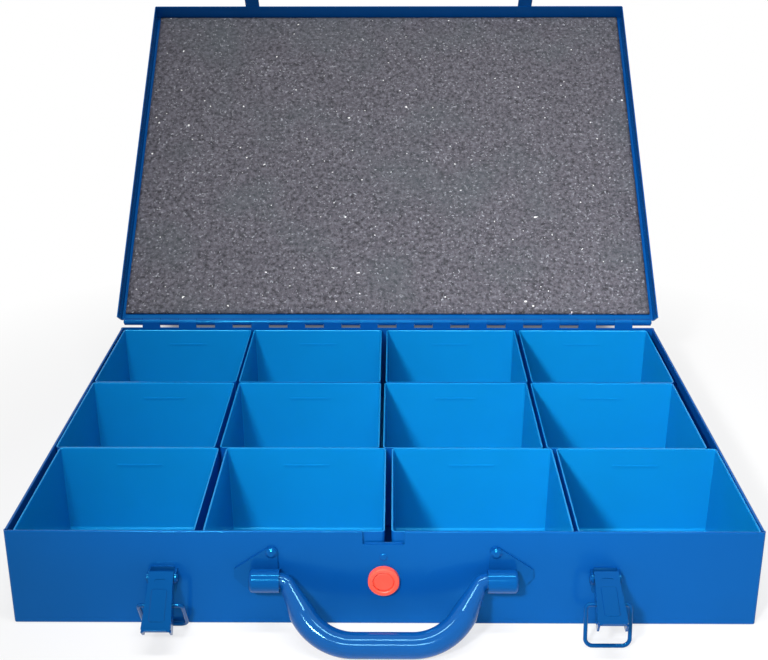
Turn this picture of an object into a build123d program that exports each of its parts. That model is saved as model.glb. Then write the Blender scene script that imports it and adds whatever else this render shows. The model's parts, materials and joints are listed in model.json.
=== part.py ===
from build123d import *
import math
import os

# Compartment storage box: a folded steel tray and lid on a long rolled hinge,
# twelve lift-out bins, two draw latches, a swinging handle and a push button.
# Millimetres. Origin at the centre of the tray's underside, +X right, +Y to the
# hinge, +Z up. Drawn open, as it stands on a table.

# Case
WIDTH = 440.0
DEPTH = 330.0
TRAY_H = 62.5
SHEET = 0.8
TRAY_CORNER = 1.4
FOOT_ROUND = 1.2
HEM_DEPTH = 7.0
HEM_GAP = 0.1
NOTCH_W = 24.4
NOTCH_D = 8.7

# Lid
LID_GAP = 0.4
LID_DEPTH = 16.0
LID_OPEN = 139.3
LID_FRONT_GAP = 0.7
LID_ROUND = 1.8

# Hinge
PIN_R = 1.95
PIN_CLEAR = 0.05
KNUCKLE = 15.0
HINGE_END = 2.5
KNUCKLE_GAP = 0.3
PIN_RISE = 4.1

# Foam
FOAM_T = 3.5
FOAM_SIDE_GAP = 2.9
FOAM_FRONT_GAP = 1.2
FOAM_HINGE_GAP = 8.5

# Bins
BIN_PLAY = 0.3
BIN_SLACK_X = 14.0
BIN_SLACK_Y = 3.5
BIN_BELOW_RIM = 1.1
BIN_WALL = 1.0
BIN_CORNER = 2.5
BIN_FOOT = 2.6
BIN_DRAFT = 1.2
# The gap in front of each row, and the gap to the left of each of its bins
BIN_ROWS = {
    "front": (0.0, (2.9, 4.8, 3.8, 2.5)),
    "middle": (0.2, (0.0, 3.2, 2.5, 2.6)),
    "rear": (1.2, (0.8, 1.9, 3.9, 3.1)),
}

# Latches
LATCH_X = 128.8
PIVOT_OUT = 4.5
PIVOT_Z = 34.5
LEVER_SHEET = 1.0
LEVER_W = 14.4
LEVER_TIP_W = 17.4
LEVER_LEN = 33.6
LEVER_FACE = 4.5
BAIL_DOWN = 16.0
BAIL_IN = 2.0
BAIL_R = 1.2
BAIL_HALF = 12.8
BAIL_LEN = 25.3
RUN_CLEAR = 0.05
EAR_T = 1.2
PLATE_T = 1.2
LATCH_RIVET_R = 1.2
LATCH_RIVET_X = 3.6
LATCH_RIVET_Z = 26.2
PIVOT_R = 1.5
LEVER_DEEP = 8.4
LEFT_LEVER = 51.0
RIGHT_LEVER = 66.0

# Keepers
KEEPER_W = 13.0
KEEPER_T = 1.12
HOOK_CLEAR = 0.18
HOOK_LIP = 1.8

# Handle
HANDLE_X = 69.0
HANDLE_OUT = 7.0
HANDLE_Z = 34.0
SLEEVE_W = 17.6
SLEEVE_R = 7.0
STUB_R = 4.5
ARM_X = 56.8
GRIP_X = 36.8
GRIP_W = 36.6
GRIP_R = 7.6
ARM_BEND = 5.5
GRIP_BEND = 34.0
BRACKET_T = 1.5
BRACKET_RIVET_X = 65.2
BRACKET_RIVET_R = 2.0
BRACKET_EYE_R = 3.8
BRACKET_BELOW_LID = 0.4
# The foot of the bracket's plate as (x, z) corners, from the inner one outwards
BRACKET_FOOT = [(60.8, 26.0), (81.5, 26.0), (87.4, 32.3), (87.3, 38.0)]

# Button
BUTTON_Z = 30.5
BUTTON_R = 6.2
COLLAR_R = 9.25
COLLAR_OUT = 3.6
LEAF_T = 0.5
LEAF_W = 22.0
LEAF_TOP = 55.0
LEAF_BOTTOM = 25.0
LEAF_STEP_Z = 40.6
LEAF_STEP = 0.55
LEAF_RIVET_Z = 45.8
LEAF_RIVET_R = 1.15

# Places worked out from the sizes above
FRONT = -DEPTH / 2
BACK = DEPTH / 2
INSIDE_FRONT = FRONT + SHEET
BORE_R = PIN_R + PIN_CLEAR
KNUCKLE_R = BORE_R + SHEET
KNUCKLES = 2 * int(((WIDTH - 2 * HINGE_END) / KNUCKLE - 1) / 2) + 1
PIN_Y = BACK + BORE_R
PIN_Z = TRAY_H + PIN_RISE
PANEL_OUT = -KNUCKLE_R
PANEL_IN = -BORE_R
LID_RIM = PANEL_OUT + LID_DEPTH
LID_HALF = WIDTH / 2 + LID_GAP + SHEET
LID_END = PIN_Y - FRONT + LID_FRONT_GAP + SHEET
SLOT_START = KNUCKLE_R + 0.5
PIVOT_Y = FRONT - PIVOT_OUT
BAIL_Y = PIVOT_Y + BAIL_IN
BAIL_Z = PIVOT_Z - BAIL_DOWN
LID_FACE_Y = PIN_Y - LID_END
KEEPER_FACE = LID_FACE_Y - KEEPER_T
HOOK_R = BAIL_R + HOOK_CLEAR
HOOK_Y = KEEPER_FACE - HOOK_R
HOOK_Z = BAIL_Z + math.sqrt(BAIL_LEN**2 - (HOOK_Y - BAIL_Y) ** 2)
HANDLE_Y = FRONT - HANDLE_OUT
FLOOR_GAP = 0.05
HANDLE_REST = math.degrees(math.acos((HANDLE_Z - GRIP_R - FLOOR_GAP) / GRIP_W))
LEAF_Y = INSIDE_FRONT + LEAF_STEP
COLLAR_BORE_R = BUTTON_R + 0.8
COLLAR_SHANK_R = COLLAR_BORE_R + 0.85
HEM_T = 2 * SHEET + HEM_GAP
ROOM_LEFT = -WIDTH / 2 + HEM_T + BIN_PLAY
ROOM_FRONT = FRONT + HEM_T + BIN_PLAY
ROOM_BACK = BACK - SHEET - BIN_PLAY
BIN_X = (-2 * ROOM_LEFT - BIN_SLACK_X) / 4
BIN_Y = (ROOM_BACK - ROOM_FRONT - BIN_SLACK_Y) / 3
BIN_H = TRAY_H - SHEET - BIN_BELOW_RIM
BRACKET_RIVET_Z = PIN_Z - LID_RIM - BRACKET_BELOW_LID - BRACKET_EYE_R

os.makedirs("parts", exist_ok=True)


def box(x0, x1, y0, y1, z0, z1):
    middle = Pos((x0 + x1) / 2, (y0 + y1) / 2, (z0 + z1) / 2)
    return middle * Box(abs(x1 - x0), abs(y1 - y0), abs(z1 - z0))


def cyl_x(y, z, x0, x1, r):
    return Pos((x0 + x1) / 2, y, z) * Rot(0, 90, 0) * Cylinder(r, abs(x1 - x0))


def cyl_y(x, z, y0, y1, r):
    return Pos(x, (y0 + y1) / 2, z) * Rot(90, 0, 0) * Cylinder(r, abs(y1 - y0))


def side_prism(points, x0, x1):
    """A closed outline of (y, z) points drawn out from x0 to x1."""
    face = make_face(Plane.YZ * Polyline(*points, close=True))
    return Pos(x0, 0, 0) * extrude(face, amount=x1 - x0, dir=(1, 0, 0))


def front_prism(points, y0, y1):
    """A closed outline of (x, z) points drawn out from y0 to y1."""
    lines = Polyline(*[(x, 0, z) for x, z in points], close=True)
    return Pos(0, y0, 0) * extrude(make_face(lines), amount=y1 - y0, dir=(0, 1, 0))


def tray_body(x, y0, y1, height, corner, foot):
    """A block with round uprights and a round foot, standing on z = 0."""
    block = box(-x, x, y0, y1, 0, height)
    block = fillet(block.edges().filter_by(Axis.Z), corner)
    return fillet(block.edges().group_by(Axis.Z)[0], foot)


def curl(start_deg, x0, x1):
    """A rolled knuckle round the X axis: 300 degrees, clockwise from start_deg."""
    ring = cyl_x(0, 0, x0, x1, KNUCKLE_R) - cyl_x(0, 0, x0 - 1, x1 + 1, BORE_R)
    a = math.radians(start_deg)
    b = math.radians(start_deg + 60)
    reach = 3 * KNUCKLE_R
    wedge = [
        (0, 0),
        (reach * math.cos(a), reach * math.sin(a)),
        (reach * math.cos(b), reach * math.sin(b)),
    ]
    return ring - side_prism(wedge, x0 - 1, x1 + 1)


def rivet(x, z, y_out, y_in, head_r, head_h, shank_r, tail_r, tail_h):
    head = cyl_y(x, z, y_out - head_h, y_out, head_r)
    head = chamfer(head.edges().group_by(Axis.Y)[0], head_h * 0.6, head_h * 0.9)
    shank = cyl_y(x, z, y_out - head_h / 2, y_in + tail_h / 2, shank_r)
    tail = cyl_y(x, z, y_in, y_in + tail_h, tail_r)
    return head + shank + tail


# Base tray with a closed hem on three rims and rolled knuckles on the fourth
def base_tray():
    outer = tray_body(WIDTH / 2, FRONT, BACK, TRAY_H, TRAY_CORNER, FOOT_ROUND)
    inner = tray_body(
        WIDTH / 2 - SHEET,
        FRONT + SHEET,
        BACK - SHEET,
        TRAY_H,
        TRAY_CORNER - SHEET,
        FOOT_ROUND - SHEET,
    )
    tray = outer - Pos(0, 0, SHEET) * inner
    thick = HEM_T
    clear = TRAY_CORNER + 1.0

    def hem(length):
        strip = box(-length / 2, length / 2, 0, thick, -HEM_DEPTH, 0)
        slit = box(-length / 2, length / 2, SHEET, SHEET + HEM_GAP, -HEM_DEPTH, -SHEET)
        strip = fillet(strip.edges().filter_by(Axis.X).group_by(Axis.Z)[-1], thick * 0.49)
        return strip - slit

    front_hem = Pos(0, FRONT, TRAY_H) * hem(WIDTH - 2 * clear)
    right_hem = Pos(WIDTH / 2, 0, TRAY_H) * Rot(0, 0, 90) * hem(DEPTH - 2 * clear)
    left_hem = Pos(-WIDTH / 2, 0, TRAY_H) * Rot(0, 0, -90) * hem(DEPTH - 2 * clear)
    rim_cut = box(-WIDTH / 2 + clear, WIDTH / 2 - clear, FRONT - 1, FRONT + SHEET,
                  TRAY_H - SHEET, TRAY_H + 1)
    side_cut = box(0, SHEET + 1, -DEPTH / 2 + clear, DEPTH / 2 - clear,
                   TRAY_H - SHEET, TRAY_H + 1)
    tray = tray - rim_cut
    tray = tray - Pos(WIDTH / 2 - SHEET, 0, 0) * side_cut
    tray = tray - Pos(-WIDTH / 2 - 1, 0, 0) * side_cut
    tray = tray + front_hem + right_hem + left_hem

    notch = box(-NOTCH_W / 2, NOTCH_W / 2, FRONT - 1, FRONT + 3, TRAY_H - NOTCH_D, TRAY_H + 1)
    notch = fillet(notch.edges().filter_by(Axis.Y).group_by(Axis.Z)[0], 1.5)
    tray = tray - notch

    first = -KNUCKLE * KNUCKLES / 2
    for i in range(1, KNUCKLES, 2):
        x0 = first + i * KNUCKLE + KNUCKLE_GAP / 2
        x1 = x0 + KNUCKLE - KNUCKLE_GAP
        tab = box(x0, x1, BACK - SHEET, BACK, TRAY_H - 1, PIN_Z)
        tray = tray + tab + Pos(0, PIN_Y, PIN_Z) * curl(180, x0, x1)

    for s in (-1, 1):
        rivet_x = s * BRACKET_RIVET_X
        tray = tray - cyl_y(rivet_x, BRACKET_RIVET_Z, FRONT - 1, FRONT + 2, BRACKET_RIVET_R)
        for x, z in latch_rivet_places(s):
            tray = tray - cyl_y(x, z, FRONT - 1, FRONT + 2, LATCH_RIVET_R)
    tray = tray - cyl_y(0, BUTTON_Z, FRONT - 1, FRONT + 2, COLLAR_SHANK_R + RUN_CLEAR)
    tray = tray - cyl_y(0, LEAF_RIVET_Z, FRONT - 1, FRONT + 2, LEAF_RIVET_R)
    return tray


def latch_rivet_places(side):
    middle = side * LATCH_X
    return [(middle - LATCH_RIVET_X, LATCH_RIVET_Z), (middle + LATCH_RIVET_X, LATCH_RIVET_Z)]


# Lid, drawn with the pin on the X axis: +Y to the free edge, +Z into the lid
OPEN = Pos(0, PIN_Y, PIN_Z) * Rot(180 - LID_OPEN, 0, 0)
FROM_CLOSED = OPEN * Rot(180, 0, 0) * Pos(0, -PIN_Y, -PIN_Z)


def lid_tray():
    back_in = -3.0
    lip_in = SLOT_START - 0.5

    def block(half, y0, y1, z0, z1, corner, edge):
        b = box(-half, half, y0, y1, z0, z1)
        b = fillet(b.edges().filter_by(Axis.Z).group_by(Axis.Y)[-1], corner)
        low = b.edges().group_by(Axis.Z)[0].sort_by(Axis.Y)[1:]
        return fillet(low, edge)

    outer = block(LID_HALF, -20, LID_END, PANEL_OUT, LID_RIM, TRAY_CORNER, LID_ROUND)
    inner = block(
        LID_HALF - SHEET,
        -30,
        LID_END - SHEET,
        PANEL_IN,
        LID_RIM + 5,
        TRAY_CORNER - SHEET,
        LID_ROUND - SHEET,
    )
    lid = outer - inner
    slant = [
        (-40, PANEL_OUT - 5),
        (lip_in + 1.8, PANEL_OUT - 5),
        (lip_in, PANEL_OUT),
        (back_in, LID_RIM),
        (back_in - 1.8, LID_RIM + 5),
        (-40, LID_RIM + 5),
    ]
    lid = lid - side_prism(slant, -LID_HALF - 1, LID_HALF + 1)
    lid = lid - box(-LID_HALF + SHEET + 1.2, LID_HALF - SHEET - 1.2, -5, SLOT_START,
                    PANEL_OUT - 1, PANEL_IN + 1)
    first = -KNUCKLE * KNUCKLES / 2
    for i in range(0, KNUCKLES, 2):
        x0 = first + i * KNUCKLE + KNUCKLE_GAP / 2
        x1 = x0 + KNUCKLE - KNUCKLE_GAP
        tab = box(x0, x1, 0, SLOT_START + 1, PANEL_OUT, PANEL_IN)
        lid = lid + tab + curl(-90, x0, x1)
    return OPEN * lid


def hinge_pin():
    half = KNUCKLE * KNUCKLES / 2 + 0.6
    pin = cyl_x(PIN_Y, PIN_Z, -half, half, PIN_R)
    return chamfer(pin.edges().filter_by(GeomType.CIRCLE), 0.4)


def lid_foam():
    half = LID_HALF - SHEET - FOAM_SIDE_GAP
    slab = box(-half, half, FOAM_HINGE_GAP, LID_END - SHEET - FOAM_FRONT_GAP,
               PANEL_IN, PANEL_IN + FOAM_T)
    slab = fillet(slab.edges().filter_by(Axis.Z), 2.0)
    return OPEN * slab


# Keepers, drawn as they stand with the lid shut, then swung open with it
def keeper(side):
    top = PIN_Z + KNUCKLE_R - 4.4
    plate = box(-KEEPER_W / 2, KEEPER_W / 2, KEEPER_FACE, LID_FACE_Y, HOOK_Z, top)
    upper = plate.edges().filter_by(Axis.Y).group_by(Axis.Z)[-1]
    plate = fillet(upper, 2.0)
    out_r = HOOK_R + KEEPER_T
    half = KEEPER_W / 2
    hook = cyl_x(HOOK_Y, HOOK_Z, -half, half, out_r)
    hook = hook - cyl_x(HOOK_Y, HOOK_Z, -half - 1, half + 1, HOOK_R)
    hook = hook - box(-half - 1, half + 1, HOOK_Y - 9, HOOK_Y + 9, HOOK_Z, HOOK_Z + 9)
    lip = box(-half, half, HOOK_Y - out_r, HOOK_Y - HOOK_R, HOOK_Z, HOOK_Z + HOOK_LIP)
    lip = fillet(lip.edges().filter_by(Axis.X).group_by(Axis.Z)[-1], KEEPER_T * 0.45)
    return FROM_CLOSED * Pos(side * LATCH_X, 0, 0) * (plate + hook + lip)


# Bins: a moulded tray with drafted walls and a faint ridge near the rim at the back
def drafted_block(x, y, top, height, corner, foot):
    """A block whose walls lean in towards its foot, its top face at z = top."""
    face = Pos(0, 0, top) * RectangleRounded(x, y, corner)
    block = extrude(face, amount=-height, taper=BIN_DRAFT)
    return fillet(block.edges().group_by(Axis.Z)[0], foot)


def storage_bin(x, y):
    hollow_h = BIN_H - BIN_WALL
    outer = drafted_block(BIN_X, BIN_Y, BIN_H, BIN_H, BIN_CORNER, BIN_FOOT)
    inner = drafted_block(
        BIN_X - 2 * BIN_WALL,
        BIN_Y - 2 * BIN_WALL,
        BIN_H,
        hollow_h,
        BIN_CORNER - BIN_WALL,
        BIN_FOOT - BIN_WALL,
    )
    shell = outer - inner
    rim = shell.faces().sort_by(Axis.Z)[-1]
    shell = chamfer(rim.inner_wires()[0].edges(), BIN_WALL * 0.3)
    wall = BIN_Y / 2 - BIN_WALL - 12.0 * math.tan(math.radians(BIN_DRAFT))
    ridge = box(-15, 15, wall - 0.4, wall + 0.4, BIN_H - 12.6, BIN_H - 11.6)
    return Pos(x + BIN_X / 2, y + BIN_Y / 2, SHEET) * (shell + ridge)


# Latches, drawn shut on x = 0: the pivot on the X axis, the wall towards +Y
def latch_plate():
    wall = PIVOT_OUT
    face = wall - PLATE_T
    half = LEVER_W / 2 - 0.1
    ear_in = LEVER_W / 2 + 0.15
    plate = box(-half, half, face, wall, -12, 5)
    plate = fillet(plate.edges().filter_by(Axis.Y), 1.5)
    plate = plate + box(-ear_in - EAR_T, ear_in + EAR_T, face, wall, -5, 3.5)
    for s in (-1, 1):
        ear = box(s * ear_in, s * (ear_in + EAR_T), 0, wall, -5, 3.5)
        nose = cyl_x(0, 0, s * ear_in, s * (ear_in + EAR_T), 3.4)
        plate = plate + ear + nose
    plate = plate - cyl_x(0, 0, -20, 20, PIVOT_R)
    for x in (-LATCH_RIVET_X, LATCH_RIVET_X):
        plate = plate - cyl_y(x, LATCH_RIVET_Z - PIVOT_Z, face - 1, wall + 1, LATCH_RIVET_R)
    return plate


def pivot_pin():
    ear_out = LEVER_W / 2 + 0.15 + EAR_T
    pin = cyl_x(0, 0, -ear_out, ear_out, PIVOT_R)
    for s in (-1, 1):
        pin = pin + cyl_x(0, 0, s * ear_out, s * (ear_out + 0.7), 2.3)
    outer = pin.edges().filter_by(GeomType.CIRCLE).group_by(Axis.X)
    return chamfer(outer[0] + outer[-1], 0.4)


def lever():
    out = -LEVER_FACE
    under = out + LEVER_SHEET
    deep = out + LEVER_DEEP
    top = 2.8
    wide_from = -7.0

    def outline(inset, low, high):
        a = LEVER_W / 2 - inset
        b = LEVER_TIP_W / 2 - inset
        return [(-a, high), (-a, wide_from), (-b, low), (b, low), (a, wide_from), (a, high)]

    shell = front_prism(outline(0, -LEVER_LEN, top), out, 5)
    hollow = front_prism(outline(LEVER_SHEET, -LEVER_LEN - 5, top + 5), under, 6)
    shell = shell - hollow
    near = PIVOT_OUT - PLATE_T - 0.35
    step = -12.6
    side = side_prism(
        [(out, top - 0.9), (out + 0.9, top), (1.2, top), (near, 0.2), (near, step),
         (deep, step - 1.0), (deep, -LEVER_LEN + 2.0), (deep - 1.2, -LEVER_LEN + 0.4),
         (out, -LEVER_LEN)], -15, 15)
    body = shell & side
    chip = 2.2
    tip = LEVER_TIP_W / 2
    for s in (-1, 1):
        corner = [(s * (tip - chip), -LEVER_LEN - 1), (s * (tip + 1), -LEVER_LEN - 1),
                  (s * (tip + 1), -LEVER_LEN + chip + 1)]
        body = body - front_prism(corner, out - 1, under + 0.6)
    panel = box(-4.6, 4.6, out - 0.5, out + 0.2, -28.0, -8.5)
    panel = fillet(panel.edges().filter_by(Axis.Y), 1.6)
    panel = chamfer(panel.faces().sort_by(Axis.Y)[0].edges(), 0.4)
    oval = box(-3.4, 3.4, out - 0.3, out + 0.4, -5.4, -2.6)
    oval = fillet(oval.edges().filter_by(Axis.Y), 1.39)
    lip = side_prism([(out + 0.3, -LEVER_LEN + 1.2), (out - 1.2, -LEVER_LEN + 0.5),
                      (out - 1.2, -LEVER_LEN), (out + 0.3, -LEVER_LEN)], chip - tip, tip - chip)
    body = body + panel - oval + lip
    body = body - cyl_x(0, 0, -20, 20, PIVOT_R + RUN_CLEAR)
    return body - cyl_x(BAIL_IN, -BAIL_DOWN, -20, 20, BAIL_R + RUN_CLEAR)


def bent_line(corners, radii):
    """Edges through (x, z) corners, each inner corner rounded to its radius."""
    edges = []
    last = Vector(corners[0][0], 0, corners[0][1])
    for i, radius in enumerate(radii, 1):
        here = Vector(corners[i][0], 0, corners[i][1])
        after = Vector(corners[i + 1][0], 0, corners[i + 1][1])
        back = (Vector(corners[i - 1][0], 0, corners[i - 1][1]) - here).normalized()
        on = (after - here).normalized()
        half = math.radians(back.get_angle(on)) / 2
        inward = (back + on).normalized()
        start = here + back * (radius / math.tan(half))
        end = here + on * (radius / math.tan(half))
        middle = here + inward * (radius / math.sin(half) - radius)
        edges.append(Edge.make_line(last, start))
        edges.append(Edge.make_three_point_arc(start, middle, end))
        last = end
    edges.append(Edge.make_line(last, Vector(corners[-1][0], 0, corners[-1][1])))
    return edges


def bail():
    """A bent wire drawn hanging from its own ends, which lie on the X axis."""
    end = 5.9
    small = 2.5
    big = 4.5
    h = BAIL_HALF
    low = -BAIL_LEN
    corners = [(-end, 0), (-h, 0), (-h, low), (h, low), (h, 0), (end, 0)]
    path = Wire(bent_line(corners, [small, big, big, small]))
    start = Plane(origin=(-end, 0, 0), z_dir=(-1, 0, 0))
    wire = sweep(start * Circle(BAIL_R), path=path)
    return wire


def place_latch(shape, side, lever_deg):
    return Pos(side * LATCH_X, PIVOT_Y, PIVOT_Z) * Rot(-lever_deg, 0, 0) * shape


def bail_pivot(lever_deg):
    a = math.radians(lever_deg)
    y = PIVOT_Y - BAIL_DOWN * math.sin(a) + BAIL_IN * math.cos(a)
    z = PIVOT_Z - BAIL_DOWN * math.cos(a) - BAIL_IN * math.sin(a)
    return y, z


def place_bail(side, lever_deg, lean):
    """The bail rests on the floor, leaning out (lean 1) or in towards the wall (-1)."""
    y, z = bail_pivot(lever_deg)
    angle = lean * math.degrees(math.acos((z - BAIL_R - FLOOR_GAP) / BAIL_LEN))
    return Pos(side * LATCH_X, y, z) * Rot(-angle, 0, 0) * bail()


# Handle, drawn hanging straight down from its pivot on the X axis
def handle():
    stub_end = HANDLE_X + SLEEVE_W / 2 - 2.0
    corners = [(stub_end, 0), (ARM_X, 0), (GRIP_X, -GRIP_W), (0, -GRIP_W)]
    line, first, arm, second, grip = bent_line(corners, [ARM_BEND, GRIP_BEND])
    thin = STUB_R + 0.25
    stub = cyl_x(0, 0, (first @ 0).X, stub_end, STUB_R)
    bend = sweep(Plane(origin=first @ 0, z_dir=first % 0) * Circle(thin), path=first)
    cone_plane = Plane(origin=arm @ 0, z_dir=arm % 0)
    cone = Solid.make_cone(thin, GRIP_R, arm.length, plane=cone_plane)
    elbow = sweep(Plane(origin=second @ 0, z_dir=second % 0) * Circle(GRIP_R), path=second)
    side = stub + bend + cone + elbow
    middle = cyl_x(0, -GRIP_W, -(second @ 1).X, (second @ 1).X, GRIP_R)
    return side + mirror(side, Plane.YZ) + middle


def place_handle(shape):
    return Pos(0, HANDLE_Y, HANDLE_Z) * Rot(-HANDLE_REST, 0, 0) * shape


def handle_bracket(side):
    x0 = HANDLE_X - SLEEVE_W / 2
    x1 = HANDLE_X + SLEEVE_W / 2
    rx = BRACKET_RIVET_X
    rz = BRACKET_RIVET_Z
    sleeve = cyl_x(HANDLE_Y, HANDLE_Z, x0, x1, SLEEVE_R)
    sleeve = fillet(sleeve.edges().filter_by(GeomType.CIRCLE).group_by(Axis.X)[-1], 2.2)
    points = BRACKET_FOOT + [(rx + 3.0, rz + 2.3), (rx - 3.3, rz + 1.7)]
    plate = front_prism(points, FRONT - BRACKET_T, FRONT)
    plate = fillet(plate.edges().filter_by(Axis.Y), 2.0)
    plate = plate + cyl_y(rx, rz, FRONT - BRACKET_T, FRONT, BRACKET_EYE_R)
    web = box(x0, x1, HANDLE_Y, FRONT, HANDLE_Z - 4.0, HANDLE_Z + 4.0)
    body = sleeve + plate + web
    body = body & box(0, WIDTH / 2, HANDLE_Y - 2 * SLEEVE_R, FRONT, 0, TRAY_H)
    body = body - cyl_x(HANDLE_Y, HANDLE_Z, x0 - 1, x1 - 1.6, STUB_R + RUN_CLEAR)
    body = body - cyl_y(rx, rz, FRONT - 3, FRONT + 1, BRACKET_RIVET_R)
    if side < 0:
        body = mirror(body, Plane.YZ)
    return body


# Push button in its collar, and the spring leaf it bears on
def turned(points, z):
    """A turned piece: (radius, y) points swept round the button's line."""
    outline = Polyline(*[(r, y, 0) for r, y in points], close=True)
    return Pos(0, 0, z) * revolve(make_face(outline), Axis.Y)


def button_collar():
    front = FRONT - COLLAR_OUT
    tail = INSIDE_FRONT + 0.5
    shoulder = front + 1.6
    points = [
        (BUTTON_R + 0.1, front + 0.4),
        (BUTTON_R + 0.7, front),
        (COLLAR_R - 0.9, front),
        (COLLAR_R - 0.25, front + 0.3),
        (COLLAR_R, front + 0.9),
        (COLLAR_R, FRONT),
        (COLLAR_SHANK_R, FRONT),
        (COLLAR_SHANK_R, INSIDE_FRONT),
        (COLLAR_SHANK_R + 0.4, INSIDE_FRONT),
        (COLLAR_SHANK_R, tail),
        (COLLAR_BORE_R, tail),
        (COLLAR_BORE_R, shoulder),
        (BUTTON_R + 0.1, shoulder),
    ]
    return turned(points, BUTTON_Z)


def release_button():
    front = FRONT - COLLAR_OUT
    shoulder = front + 1.65
    rear = LEAF_Y - 0.05
    points = [
        (0, front + 1.0),
        (2.5, front + 0.95),
        (BUTTON_R - 1.4, front + 0.8),
        (BUTTON_R - 0.6, front + 0.8),
        (BUTTON_R, front + 1.3),
        (BUTTON_R, shoulder),
        (COLLAR_BORE_R - 0.1, shoulder),
        (COLLAR_BORE_R - 0.1, shoulder + 1.4),
        (4.0, shoulder + 1.4),
        (4.0, rear - 0.9),
        (2.0, rear - 0.3),
        (0, rear),
    ]
    return turned(points, BUTTON_Z)


def catch_leaf():
    """Seated on the wall at its rivet, then stepped back to clear the collar."""
    a = INSIDE_FRONT
    b = LEAF_Y
    z = LEAF_STEP_Z
    leaf = side_prism(
        [(a, LEAF_TOP), (a + LEAF_T, LEAF_TOP), (a + LEAF_T, z), (b + LEAF_T, z - 1.2),
         (b + LEAF_T, LEAF_BOTTOM), (b, LEAF_BOTTOM), (b, z - 1.4), (a, z - 0.2)],
        -LEAF_W / 2, LEAF_W / 2)
    return leaf - cyl_y(0, LEAF_RIVET_Z, a - 1, a + 2, LEAF_RIVET_R)


def leaf_rivet():
    return rivet(0, LEAF_RIVET_Z, FRONT, INSIDE_FRONT + LEAF_T, 2.4, 0.6, LEAF_RIVET_R, 1.8, 0.4)


def write(shape, name):
    solids = shape.solids()
    out = solids[0] if len(solids) == 1 else Compound(children=list(solids))
    out.label = name
    export_step(out, "parts/" + name + ".step")


write(base_tray(), "base_tray")
write(lid_tray(), "lid_tray")
write(hinge_pin(), "hinge_pin")
write(lid_foam(), "lid_foam")

y = ROOM_FRONT
for row, (row_gap, gaps) in BIN_ROWS.items():
    x = ROOM_LEFT
    y = y + row_gap
    for number, gap in enumerate(gaps, 1):
        x = x + gap
        write(storage_bin(x, y), "bin_" + row + "_" + str(number))
        x = x + BIN_X
    y = y + BIN_Y

LATCHES = {
    "left": (-1, LEFT_LEVER, -1),
    "right": (1, RIGHT_LEVER, 1),
}
latch_rivets = []
bracket_rivets = []
for name, (side, lever_deg, lean) in LATCHES.items():
    write(place_latch(latch_plate(), side, 0), "latch_plate_" + name)
    write(place_latch(pivot_pin(), side, 0), "latch_pin_" + name)
    write(place_latch(lever(), side, lever_deg), "latch_lever_" + name)
    write(place_bail(side, lever_deg, lean), "latch_bail_" + name)
    write(keeper(side), "keeper_" + name)
    write(handle_bracket(side), "handle_bracket_" + name)
    for x, z in latch_rivet_places(side):
        latch_rivets.append(
            rivet(x, z, FRONT - PLATE_T, INSIDE_FRONT, 2.1, 0.8, LATCH_RIVET_R, 1.9, 0.6)
        )
    rivet_x = side * BRACKET_RIVET_X
    bracket_rivets.append(
        rivet(rivet_x, BRACKET_RIVET_Z, FRONT - BRACKET_T, INSIDE_FRONT,
              BRACKET_EYE_R - 0.5, 1.7, BRACKET_RIVET_R, 2.9, 0.8)
    )

write(Compound(children=latch_rivets), "latch_rivets")
write(Compound(children=bracket_rivets), "bracket_rivets")
write(place_handle(handle()), "handle")
write(button_collar(), "button_collar")
write(release_button(), "release_button")
write(catch_leaf(), "catch_leaf")
write(leaf_rivet(), "leaf_rivet")
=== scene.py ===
import json
import math

import bmesh
import bpy
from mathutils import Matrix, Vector, noise


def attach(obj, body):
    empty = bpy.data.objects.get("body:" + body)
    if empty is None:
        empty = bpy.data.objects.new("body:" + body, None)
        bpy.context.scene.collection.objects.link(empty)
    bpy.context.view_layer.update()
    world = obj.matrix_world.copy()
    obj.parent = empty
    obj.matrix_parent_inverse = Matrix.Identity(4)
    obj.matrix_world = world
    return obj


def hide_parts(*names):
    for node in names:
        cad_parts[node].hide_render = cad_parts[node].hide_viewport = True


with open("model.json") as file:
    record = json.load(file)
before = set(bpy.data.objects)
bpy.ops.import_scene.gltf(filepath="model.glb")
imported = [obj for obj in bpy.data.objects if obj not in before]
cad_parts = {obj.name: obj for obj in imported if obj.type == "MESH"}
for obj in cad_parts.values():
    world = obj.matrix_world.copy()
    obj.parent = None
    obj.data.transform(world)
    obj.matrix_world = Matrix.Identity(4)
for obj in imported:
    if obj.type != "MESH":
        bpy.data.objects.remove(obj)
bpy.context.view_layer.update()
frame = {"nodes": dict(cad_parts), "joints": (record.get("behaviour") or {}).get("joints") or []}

bl_info = {
    "name": "Compartment storage box",
    "version": (1, 0, 0),
    "blender": (4, 5, 0),
    "location": "View3D > Sidebar > Storage Box",
    "description": "Finishes, foam and studio for a steel case of lift-out bins",
    "category": "Object",
}

NODES = frame["nodes"]
JOINTS = {joint["name"]: joint for joint in frame["joints"]}

# The lid: its lean from level when open, half its width, and how far it overhangs
LID_LEAN = math.radians(40.7)
LID_HALF = 0.2212
LID_REACH = 0.25

# Tints of the reflections, and the painted shade on the small parts: their copies of the case's
# enamel are made darker
CASE_TINT = (0.05, 0.65, 1.0)
GRIP_TINT = (0.3, 0.8, 1.0)
BIN_TINT = (0.1, 0.75, 1.0)
HANDLE_SHADE = 0.85
LATCH_SHADE = 0.7

# The foam's face: vertices across and up
FOAM_COLUMNS = 150
FOAM_ROWS = 112

# The stage: half the floor, its colour, and where it goes over to plain white
FLOOR_HALF = 6.0
FLOOR_GREY = (0.9, 0.9, 0.9, 1.0)
PLAIN_FROM = 0.3
PLAIN_TO = 0.55
CAMERA_PLACE = (0.0062, -0.7835, 0.4244)
CAMERA_TURN = (69.002, 0.108, 0.488)


# Shader maths

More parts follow.
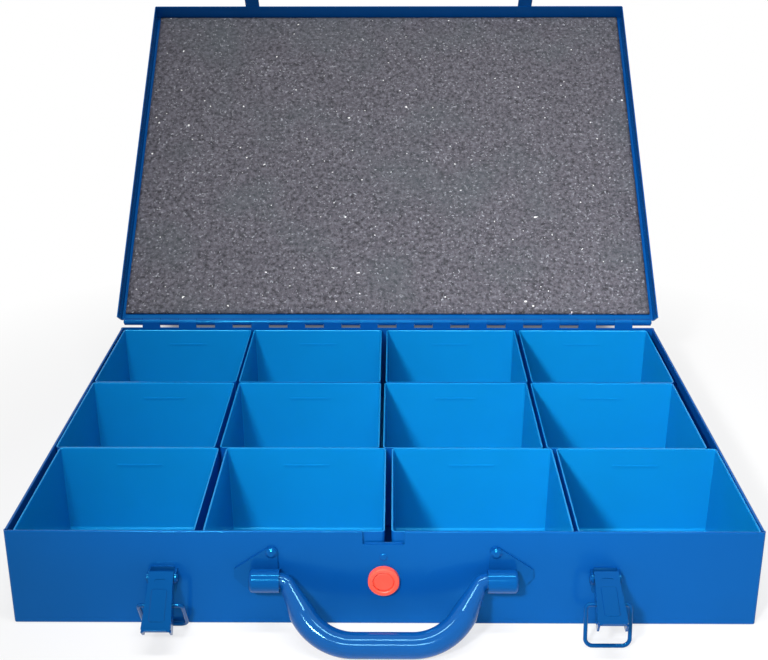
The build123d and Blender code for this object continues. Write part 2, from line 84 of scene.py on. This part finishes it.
class Value:
    """A node socket that takes part in ordinary sums."""

    def __init__(self, tree, socket):
        self.tree = tree
        self.socket = socket

    def math(self, operation, *others, first=None, clamp=False):
        values = [self if first is None else first, *others]
        node = self.tree.nodes.new("ShaderNodeMath")
        node.operation = operation
        node.use_clamp = clamp
        for place, value in zip(node.inputs, values):
            if isinstance(value, Value):
                self.tree.links.new(value.socket, place)
            else:
                place.default_value = value
        return Value(self.tree, node.outputs[0])

    def __add__(self, other):
        return self.math("ADD", other)

    __radd__ = __add__

    def __mul__(self, other):
        return self.math("MULTIPLY", other)

    __rmul__ = __mul__

    def __sub__(self, other):
        return self.math("SUBTRACT", other)

    def __rsub__(self, other):
        return self.math("SUBTRACT", self, first=other)

    def __truediv__(self, other):
        return self.math("DIVIDE", other)

    def clamped(self):
        return self.math("ADD", 0.0, clamp=True)


class Finish:
    """One material: a shader, and the nodes that feed it."""

    def __init__(self, name, **constants):
        self.material = bpy.data.materials.new(name)
        self.material.use_nodes = True
        self.tree = self.material.node_tree
        self.shader = next(n for n in self.tree.nodes if n.type == "BSDF_PRINCIPLED")
        for socket, value in constants.items():
            self.shader.inputs[socket.replace("_", " ")].default_value = value

    def node(self, kind, settings=None, output=0, **inputs):
        made = self.tree.nodes.new(kind)
        for name, value in (settings or {}).items():
            setattr(made, name, value)
        for name, value in inputs.items():
            key = int(name[1:]) if name[0] == "i" and name[1:].isdigit() else name.replace("_", " ")
            place = made.inputs[key]
            if isinstance(value, Value):
                self.tree.links.new(value.socket, place)
            else:
                place.default_value = value
        return Value(self.tree, made.outputs[output])

    def place(self):
        return self.node("ShaderNodeTexCoord", output="Object")

    def grain(self, scale, detail=2.0, rough=0.5, where=None):
        return self.node("ShaderNodeTexNoise", Vector=where or self.place(), Scale=scale,
                         Detail=detail, Roughness=rough)

    def blend(self, factor, low, high):
        return self.node("ShaderNodeMix", {"data_type": "RGBA"}, output=2,
                         i0=factor, i6=low, i7=high)

    def between(self, value, low, high, to_low=0.0, to_high=1.0):
        return self.node("ShaderNodeMapRange", {"clamp": True}, Value=value, From_Min=low,
                         From_Max=high, To_Min=to_low, To_Max=to_high)

    def bump(self, height, strength, distance):
        return self.node("ShaderNodeBump", Height=height, Strength=strength, Distance=distance)

    def parts(self, vector):
        """The X, Y and Z of a vector."""
        split = self.node("ShaderNodeSeparateXYZ", Vector=vector)
        return [Value(self.tree, socket) for socket in split.socket.node.outputs]

    def facing_out(self):
        """1 on the outer faces of an upright box, 0 on its inner faces, rim and floor."""
        place = self.parts(self.node("ShaderNodeTexCoord", output="Generated"))
        normal = self.parts(self.node("ShaderNodeTexCoord", output="Normal"))
        out = normal[0] * (place[0] - 0.5) + normal[1] * (place[1] - 0.5)
        return self.between(out, 0.15, 0.35)

    def seen(self):
        """1 where the camera looks, by itself or by way of a mirror or glass, else 0."""
        rays = [self.node("ShaderNodeLightPath", output=name)
                for name in ("Is Camera Ray", "Is Glossy Ray", "Is Transmission Ray")]
        return (rays[0] + rays[1] + rays[2]).clamped()

    def end_with(self, factor, other):
        """Mix another shader over this one."""
        mixed = self.node("ShaderNodeMixShader", i0=factor,
                          i1=Value(self.tree, self.shader.outputs[0]), i2=other)
        output = next(n for n in self.tree.nodes if n.type == "OUTPUT_MATERIAL")
        self.tree.links.new(mixed.socket, output.inputs["Surface"])

    def feed(self, **links):
        for name, value in links.items():
            self.tree.links.new(value.socket, self.shader.inputs[name.replace("_", " ")])
        return self.material


def shade(colour, gain, alpha=1.0):
    return (*(min(1.0, channel * gain) for channel in colour[:3]), alpha)


# Finishes

def stoved_paint(name, look, gain=1.0, tint=CASE_TINT, gloss=1.0):
    """Gloss enamel on steel: faint orange peel, slow colour drift, dull patches."""
    paint = Finish(name, IOR=1.5, Specular_IOR_Level=look.shine, Specular_Tint=(*tint, 1.0))
    drift = paint.grain(9.0, 3.0)
    fine = paint.grain(420.0, 1.0)
    body = paint.blend(paint.between(drift, 0.3, 0.7), shade(look.paint, gain * 0.92),
                       shade(look.paint, gain * 1.07))
    dull = paint.between(paint.grain(40.0, 2.0), 0.35, 0.75)
    peel = paint.bump(fine + drift * 0.8, look.peel, 0.00012)
    return paint.feed(Base_Color=body, Roughness=(dull * 0.06 + look.gloss) * gloss,
                      Normal=peel)


def bin_plastic(name, look, gain=1.0):
    """Injection-moulded plastic: even colour, a soft sheen and faint flow marks, with painted shade
    on the outer faces.
    """
    plastic = Finish(name, IOR=1.48, Specular_IOR_Level=look.shine,
                     Specular_Tint=(*BIN_TINT, 1.0))
    flow = plastic.grain(14.0, 4.0, 0.6)
    body = plastic.blend(plastic.between(flow, 0.25, 0.75), shade(look.plastic, gain * 0.95),
                         shade(look.plastic, gain * 1.05))
    # Painted shade: the outer faces, which stand in the tray's shadow, take a darker colour
    body = plastic.blend(plastic.facing_out(), body, shade(look.outside_shade, gain))
    skin = plastic.grain(900.0, 1.0)
    through = plastic.node("ShaderNodeBsdfTranslucent", Color=shade(look.plastic, 1.1))
    plastic.end_with(look.through, through)
    return plastic.feed(
        Base_Color=body,
        Roughness=look.sheen + plastic.between(flow, 0.3, 0.7) * 0.05,
        Normal=plastic.bump(skin, 0.15, 0.00006),
    )


def paint_nodes(material, *names):
    for name in names:
        node = NODES[name]
        node.data.materials.clear()
        node.data.materials.append(material)


def open_cell_foam(name, look):
    """Grey open-cell foam: dark pores, with painted highlights on the cell walls: lighter specks
    and rare white glints.
    """
    foam = Finish(name, Roughness=0.95, Specular_IOR_Level=0.15)
    where = foam.place()
    cells = foam.node("ShaderNodeTexVoronoi", {"feature": "F1"}, Vector=where, Scale=700.0,
                      Randomness=1.0)
    mottle = foam.grain(320.0, 3.0, 0.7, where)
    fleck = foam.grain(470.0, 1.0, 0.5, where)
    clump = foam.grain(60.0, 3.0, 0.6, where)
    tint = foam.grain(16.0, 2.0, 0.5, where)
    base = foam.blend(foam.between(mottle, 0.34, 0.66), shade(look.foam, 0.42),
                      shade(look.foam, 1.5))
    cool = (look.foam[0] * 0.82, look.foam[1] * 1.02, look.foam[2] * 0.95, 1.0)
    base = foam.blend(foam.between(tint, 0.5, 0.8) * 0.5, base, cool)
    # Painted highlight: lighter specks in clumps, where the cell walls catch the light
    painted_sparkle = foam.between(fleck, 0.62, 0.74) * foam.between(clump, 0.36, 0.62, 0.3, 1.0)
    # Painted highlight: rare near-white glints on the cell walls
    painted_glint = foam.between(foam.grain(330.0, 0.0, 0.5, where), 0.84, 0.87)
    base = foam.blend(painted_sparkle, base, (0.36, 0.37, 0.41, 1.0))
    base = foam.blend(painted_glint, base, (0.95, 0.95, 0.95, 1.0))
    pores = foam.bump(cells + mottle * 0.7, 0.7, 0.0007)
    return foam.feed(Base_Color=base, Normal=pores)


# Places in the lid: u runs from the pin to the free edge, n is out of the panel

def lid_axes():
    pin = Vector(JOINTS["lid_hinge"]["pos_m"])
    along = Vector((0, math.cos(LID_LEAN), math.sin(LID_LEAN)))
    out = Vector((0, -math.sin(LID_LEAN), math.cos(LID_LEAN)))
    return pin, along, out


def lid_span(node):
    pin, along, out = lid_axes()
    points = [vertex.co - pin for vertex in NODES[node].data.vertices]
    xs = [p.x for p in points]
    us = [p.dot(along) for p in points]
    ns = [p.dot(out) for p in points]
    return (min(xs), max(xs)), (min(us), max(us)), (min(ns), max(ns))


def lid_point(x, u, n):
    pin, along, out = lid_axes()
    return Vector((x, pin.y, pin.z)) + along * u + out * n


def foam_mesh(look):
    """The pad: a fine grid for the face, wavy by a hair, with a soft cut edge."""
    x_span, u_span, n_span = lid_span("lid_foam")
    mesh = bmesh.new()
    columns, rows = FOAM_COLUMNS, FOAM_ROWS
    edge = look.edge_round
    face = {}
    for row in range(rows + 1):
        for column in range(columns + 1):
            fx = column / columns
            fu = row / rows
            x = x_span[0] + (x_span[1] - x_span[0]) * fx
            u = u_span[0] + (u_span[1] - u_span[0]) * fu
            near = min(x - x_span[0], x_span[1] - x, u - u_span[0], u_span[1] - u)
            fall = max(0.0, 1 - near / edge) ** 2 * edge
            wave = noise.noise(Vector((x * 60, u * 60, 3.0))) * look.wave
            n = n_span[1] - look.wave - fall + wave
            face[row, column] = mesh.verts.new(lid_point(x, u, n))
    for row in range(rows):
        for column in range(columns):
            mesh.faces.new((face[row, column], face[row, column + 1],
                            face[row + 1, column + 1], face[row + 1, column]))
    rim = [face[0, c] for c in range(columns)]
    rim += [face[r, columns] for r in range(rows)]
    rim += [face[rows, c] for c in range(columns, 0, -1)]
    rim += [face[r, 0] for r in range(rows, 0, -1)]
    pin, _, out = lid_axes()
    back = []
    for vert in rim:
        depth = (vert.co - pin).dot(out) - n_span[0]
        back.append(mesh.verts.new(vert.co - out * depth))
    for i in range(len(rim)):
        j = (i + 1) % len(rim)
        mesh.faces.new((rim[i], back[i], back[j], rim[j]))
    mesh.faces.new(back[::-1])
    bmesh.ops.recalc_face_normals(mesh, faces=mesh.faces)
    data = bpy.data.meshes.new("foam_pad")
    mesh.to_mesh(data)
    mesh.free()
    for polygon in data.polygons:
        polygon.use_smooth = len(polygon.vertices) == 4
    return data


def add_object(name, data):
    made = bpy.data.objects.new(name, data)
    bpy.context.scene.collection.objects.link(made)
    return made


# Settings

class CaseLook(bpy.types.PropertyGroup):
    paint: bpy.props.FloatVectorProperty(
        name="Paint", description="Colour of the enamel", subtype="COLOR", size=3,
        default=(0.002, 0.076, 0.315), min=0, max=1)
    gloss: bpy.props.FloatProperty(
        name="Roughness", description="How dull the enamel is", default=0.15,
        subtype="FACTOR", min=0, max=1)
    shine: bpy.props.FloatProperty(
        name="Shine", description="Strength of the enamel's reflection", default=0.5,
        subtype="FACTOR", min=0, max=1)
    peel: bpy.props.FloatProperty(
        name="Orange peel", description="Depth of the paint's ripple", default=0.25,
        subtype="FACTOR", min=0, max=1)


class BinLook(bpy.types.PropertyGroup):
    plastic: bpy.props.FloatVectorProperty(
        name="Plastic", description="Colour of the bins", subtype="COLOR", size=3,
        default=(0.004, 0.31, 0.72), min=0, max=1)
    # Painted shade: this darker colour of the outer faces stands in for the tray's shadow on them
    outside_shade: bpy.props.FloatVectorProperty(
        name="Outside", description="Colour of the bins' outer faces", subtype="COLOR", size=3,
        default=(0.002, 0.11, 0.42), min=0, max=1)
    sheen: bpy.props.FloatProperty(
        name="Roughness", description="How dull the plastic is", default=0.13,
        subtype="FACTOR", min=0, max=1)
    shine: bpy.props.FloatProperty(
        name="Shine", description="Strength of the plastic's reflection", default=0.5,
        subtype="FACTOR", min=0, max=1)
    through: bpy.props.FloatProperty(
        name="Translucency", description="How much light passes the thin walls", default=0.3,
        subtype="FACTOR", min=0, max=1)


class FoamLook(bpy.types.PropertyGroup):
    foam: bpy.props.FloatVectorProperty(
        name="Foam", description="Colour of the foam", subtype="COLOR", size=3,
        default=(0.11, 0.107, 0.127), min=0, max=1)
    wave: bpy.props.FloatProperty(
        name="Waviness", description="How far the face strays from flat", default=0.00018,
        unit="LENGTH", subtype="DISTANCE", min=0, max=0.001)
    edge_round: bpy.props.FloatProperty(
        name="Soft edge", description="Depth of the softened cut edge", default=0.0012,
        unit="LENGTH", subtype="DISTANCE", min=0.0001, max=0.003)


class ButtonLook(bpy.types.PropertyGroup):
    plastic: bpy.props.FloatVectorProperty(
        name="Button", description="Colour of the button and collar", subtype="COLOR", size=3,
        default=(0.95, 0.1, 0.06), min=0, max=1)


class StageLook(bpy.types.PropertyGroup):
    flash: bpy.props.FloatProperty(
        name="Flash", description="Power of the slim lamp by the camera", default=1.6,
        subtype="POWER", unit="POWER", min=0, max=200)
    main: bpy.props.FloatProperty(
        name="Main lamp", description="Power of the narrow lamp left of the camera", default=1.0,
        subtype="POWER", unit="POWER", min=0, max=200)
    ceiling: bpy.props.FloatProperty(
        name="Ceiling", description="Power of the broad lamp overhead", default=15.0,
        subtype="POWER", unit="POWER", min=0, max=200)
    room: bpy.props.FloatProperty(
        name="Room light", description="Strength of the room's own light", default=0.27,
        subtype="FACTOR", min=0, max=1)
    shadow: bpy.props.FloatProperty(
        name="Shadow", description="How much of the floor's shadow is kept", default=0.3,
        subtype="FACTOR", min=0, max=1)
    focal: bpy.props.FloatProperty(
        name="Lens", description="Focal length for a 36 mm wide picture", default=57.55,
        min=20, max=200)


# Operators

class CASE_OT_paint(bpy.types.Operator):
    """Paint the tray, the lid and the hinge"""

    bl_idname = "storage_box.case_paint"
    bl_label = "Paint the case"

    def execute(self, context):
        look = context.scene.storage_case
        paint_nodes(stoved_paint("case_enamel", look), "base_tray", "hinge_pin", "leaf_rivet",
                    "catch_leaf")
        # Painted shade: the lid and keepers get a copy of the case's enamel made a tenth darker
        paint_nodes(stoved_paint("lid_enamel", look, 0.9), "lid_tray", "keeper_left",
                    "keeper_right")
        return {"FINISHED"}


class LATCH_OT_paint(bpy.types.Operator):
    """Paint both latches with their rivets"""

    bl_idname = "storage_box.latch_paint"
    bl_label = "Paint the latches"

    def execute(self, context):
        look = context.scene.storage_case
        # Painted shade: the latches' copy of the case's enamel is made darker
        enamel = stoved_paint("latch_enamel", look, LATCH_SHADE, gloss=0.7)
        for side in ("left", "right"):
            paint_nodes(enamel, "latch_plate_" + side, "latch_pin_" + side,
                        "latch_lever_" + side, "latch_bail_" + side)
        paint_nodes(enamel, "latch_rivets")
        return {"FINISHED"}


class HANDLE_OT_paint(bpy.types.Operator):
    """Paint the carrying handle and its brackets"""

    bl_idname = "storage_box.handle_paint"
    bl_label = "Paint the handle"

    def execute(self, context):
        look = context.scene.storage_case
        # Painted shade: the handle and brackets get copies of the case's enamel made darker
        grip = stoved_paint("handle_enamel", look, HANDLE_SHADE, GRIP_TINT, 0.6)
        paint_nodes(grip, "handle")
        enamel = stoved_paint("bracket_enamel", look, HANDLE_SHADE, gloss=0.7)
        paint_nodes(enamel, "handle_bracket_left", "handle_bracket_right", "bracket_rivets")
        return {"FINISHED"}


class BINS_OT_mould(bpy.types.Operator):
    """Give the twelve bins their moulded plastic"""

    bl_idname = "storage_box.bin_plastic"
    bl_label = "Finish the bins"

    def execute(self, context):
        look = context.scene.storage_bins
        for row in ("front", "middle", "rear"):
            plastic = bin_plastic("bin_plastic_" + row, look)
            for number in range(1, 5):
                paint_nodes(plastic, "bin_" + row + "_" + str(number))
        return {"FINISHED"}


class FOAM_OT_pad(bpy.types.Operator):
    """Make the foam pad inside the lid"""

    bl_idname = "storage_box.foam_pad"
    bl_label = "Make the foam"

    def execute(self, context):
        look = context.scene.storage_foam
        pad = add_object("foam_pad", foam_mesh(look))
        pad.data.materials.append(open_cell_foam("open_cell_foam", look))
        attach(pad, "lid")
        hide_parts("lid_foam")
        return {"FINISHED"}


class BUTTON_OT_mould(bpy.types.Operator):
    """Give the button and its collar their red plastic"""

    bl_idname = "storage_box.button_plastic"
    bl_label = "Finish the button"

    def execute(self, context):
        look = context.scene.storage_button
        for name, gain in (("button_collar", 1.0), ("release_button", 0.97)):
            red = Finish(name + "_plastic", IOR=1.49, Specular_IOR_Level=0.45)
            flow = red.grain(60.0, 2.0)
            body = red.blend(red.between(flow, 0.3, 0.7), shade(look.plastic, gain * 0.94),
                             shade(look.plastic, gain))
            red.feed(Base_Color=body, Roughness=0.3 + flow * 0.08,
                     Normal=red.bump(red.grain(700.0, 1.0), 0.15, 0.00008))
            paint_nodes(red.material, name)
        return {"FINISHED"}


class STAGE_OT_build(bpy.types.Operator):
    """Set up the floor, the lamps, the room light and the camera"""

    bl_idname = "storage_box.stage"
    bl_label = "Set the stage"

    def execute(self, context):
        look = context.scene.storage_stage
        self.floor(look)
        self.room(context.scene, look)
        self.lamp("flash", look.flash, (0.24, 0.045), (0.0, -0.85, 0.55))
        self.lamp("main_lamp", look.main, (0.1, 0.1), (-0.25, -0.85, 0.6), (0.18, 0.1, 0.1), 50)
        self.lamp("ceiling", look.ceiling, (1.2, 0.12), (0.0, -0.4, 1.6))
        self.camera(context.scene, look)
        return {"FINISHED"}

    def floor(self, look):
        """A white floor: seen as plain white further off, with the shadow kept near the case."""
        data = bpy.data.meshes.new("floor")
        half = FLOOR_HALF
        data.from_pydata([(-half, -half, 0), (half, -half, 0), (half, half, 0), (-half, half, 0)],
                         [], [(0, 1, 2, 3)])
        floor = add_object("floor", data)
        white = Finish("floor_white", Base_Color=FLOOR_GREY, Roughness=1.0,
                       Specular_IOR_Level=0.0)
        away = white.node("ShaderNodeVectorMath", {"operation": "LENGTH"}, output=1,
                          Vector=white.place())
        plain = white.between(away, PLAIN_FROM, PLAIN_TO, 1 - look.shadow, 1.0)
        plain = plain * (1 - self.under_lid(white))
        glow = white.node("ShaderNodeEmission", Color=(1, 1, 1, 1), Strength=1.0)
        white.end_with(white.seen() * plain, glow)
        data.materials.append(white.material)

    def under_lid(self, white):
        """1 on the strip behind the tray that the open lid hangs over, else 0."""
        x, y, _ = white.parts(white.place())
        hinge = JOINTS["lid_hinge"]["pos_m"][1]
        reach = hinge + LID_REACH
        beside = white.between(x.math("ABSOLUTE"), LID_HALF - 0.012, LID_HALF + 0.004, 1.0, 0.0)
        begun = white.between(y, hinge - 0.02, hinge)
        ended = white.between(y, reach - 0.06, reach, 1.0, 0.0)
        return beside * begun * ended

    def room(self, scene, look):
        world = bpy.data.worlds.new("room")
        world.use_nodes = True
        scene.world = world
        tree = world.node_tree
        back = next(n for n in tree.nodes if n.type == "BACKGROUND")
        back.inputs["Color"].default_value = (1, 1, 1, 1)
        path = tree.nodes.new("ShaderNodeLightPath")
        seen = Value(tree, path.outputs["Is Camera Ray"])
        seen = seen + Value(tree, path.outputs["Is Glossy Ray"])
        seen = (seen + Value(tree, path.outputs["Is Transmission Ray"])).clamped()
        strength = seen * (1 - look.room) + look.room
        tree.links.new(strength.socket, back.inputs["Strength"])

    def lamp(self, name, power, size, where, target=(0, 0, 0.05), spread=180):
        light = bpy.data.lights.new(name, "AREA")
        light.energy = power
        light.shape = "RECTANGLE"
        light.size, light.size_y = size
        light.spread = math.radians(spread)
        made = add_object(name, light)
        made.location = where
        aim = Vector(target) - Vector(where)
        made.rotation_euler = aim.to_track_quat("-Z", "Y").to_euler()

    def camera(self, scene, look):
        data = bpy.data.cameras.new("camera")
        data.lens = look.focal
        data.sensor_width = 36.0
        data.sensor_fit = "HORIZONTAL"
        camera = add_object("camera", data)
        camera.location = CAMERA_PLACE
        camera.rotation_euler = [math.radians(angle) for angle in CAMERA_TURN]
        scene.camera = camera


OPERATORS = (CASE_OT_paint, LATCH_OT_paint, HANDLE_OT_paint, BINS_OT_mould, FOAM_OT_pad,
             BUTTON_OT_mould, STAGE_OT_build)


class STORAGE_PT_panel(bpy.types.Panel):
    """The storage box's pieces and settings"""

    bl_idname = "STORAGE_PT_panel"
    bl_label = "Storage box"
    bl_space_type = "VIEW_3D"
    bl_region_type = "UI"
    bl_category = "Storage Box"

    def draw(self, context):
        for operator in OPERATORS:
            self.layout.operator(operator.bl_idname)
        for name in LOOKS:
            look = getattr(context.scene, name)
            for setting in look.__annotations__:
                self.layout.prop(look, setting)


LOOKS = {
    "storage_case": CaseLook,
    "storage_bins": BinLook,
    "storage_foam": FoamLook,
    "storage_button": ButtonLook,
    "storage_stage": StageLook,
}
CLASSES = (*LOOKS.values(), *OPERATORS, STORAGE_PT_panel)


def register():
    for cls in CLASSES:
        bpy.utils.register_class(cls)
    for name, cls in LOOKS.items():
        setattr(bpy.types.Scene, name, bpy.props.PointerProperty(type=cls))


def unregister():
    for name in LOOKS:
        delattr(bpy.types.Scene, name)
    for cls in reversed(CLASSES):
        bpy.utils.unregister_class(cls)


def main():
    register()
    bpy.context.scene.view_settings.view_transform = "Standard"
    bpy.ops.storage_box.case_paint()
    bpy.ops.storage_box.latch_paint()
    bpy.ops.storage_box.handle_paint()
    bpy.ops.storage_box.bin_plastic()
    bpy.ops.storage_box.foam_pad()
    bpy.ops.storage_box.button_plastic()
    bpy.ops.storage_box.stage()
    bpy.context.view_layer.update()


if __name__ == "__main__":
    main()
